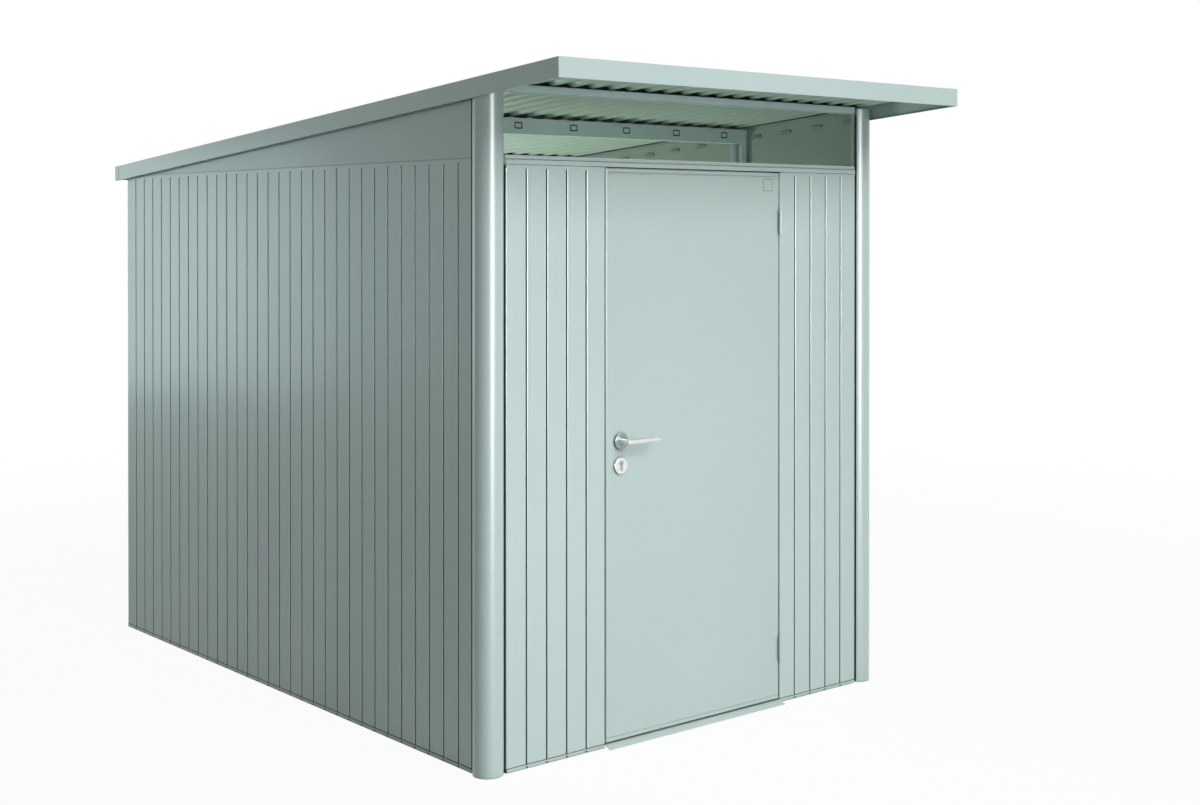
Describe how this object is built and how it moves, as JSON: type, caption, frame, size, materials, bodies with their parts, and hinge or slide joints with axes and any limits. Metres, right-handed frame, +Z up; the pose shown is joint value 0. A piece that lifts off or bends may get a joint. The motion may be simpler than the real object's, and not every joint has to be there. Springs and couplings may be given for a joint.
{
  "type": "metal storage shed",
  "caption": "Pent-roofed ribbed sheet-metal storage shed with round front corner posts, a clear strip over the front and a hinged lever-handle door.",
  "frame": {"origin": "on the ground, under the middle of the roof's rectangle", "axes": "+X to the right seen from the front, +Y from the door front towards the rear, +Z up"},
  "size_m": [1.804, 3, 2.165],
  "materials": {
    "painted": "satin silver-grey powder coat",
    "stainless": "satin stainless steel",
    "zinc": "zinc-plated steel",
    "acrylic": "clear acrylic sheet"
  },
  "bodies": {
    "shed": {"wall_left_front": "painted", "wall_left_middle": "painted", "wall_left_rear": "painted", "wall_right_front": "painted", "wall_right_middle": "painted", "wall_right_rear": "painted", "wall_rear_left": "painted", "wall_rear_right": "painted", "front_panel_left": "painted", "front_panel_right": "painted", "base_rail_left": "painted", "base_rail_right": "painted", "base_rail_rear": "painted", "base_rail_front": "painted", "door_sill": "painted", "corner_post_left": "painted", "corner_post_right": "painted", "rear_corner_left": "painted", "rear_corner_right": "painted", "door_jamb_left": "painted", "door_jamb_right": "painted", "door_stops": "painted", "door_lintel": "painted", "transom_beam": "painted", "transom_pane": "acrylic", "roof_beam_middle": "painted", "roof_beam_rear": "painted", "wall_posts_left": "painted", "wall_posts_right": "painted", "gable_left": "painted", "gable_right": "painted", "eave_rail_rear": "painted", "roof_sheet_left": "painted", "roof_sheet_middle": "painted", "roof_sheet_right": "painted", "roof_fascia_front": "painted", "roof_fascia_rear": "painted", "roof_fascia_left": "painted", "roof_fascia_right": "painted", "hinges_fixed": "painted", "strike_plate": "zinc"},
    "door": {"door_leaf": "painted", "door_stiffeners": "painted", "hinges_moving": "painted", "lock_case": "stainless"},
    "lever": {"lever_outside": "stainless", "lever_inside": "stainless"}
  },
  "joints": [
    {"name": "door_swing", "type": "hinge", "parent": "shed", "child": "door", "pos_m": [0.4, -1.119, 0.9], "axis": [0, 0, 1], "range_deg": [0, 110]},
    {"name": "lever_turn", "type": "hinge", "parent": "door", "child": "lever", "pos_m": [-0.339, -1.112, 0.9845], "axis": [0, 1, 0], "range_deg": [0, 40], "stiffness_Nm_per_rad": 1}
  ]
}
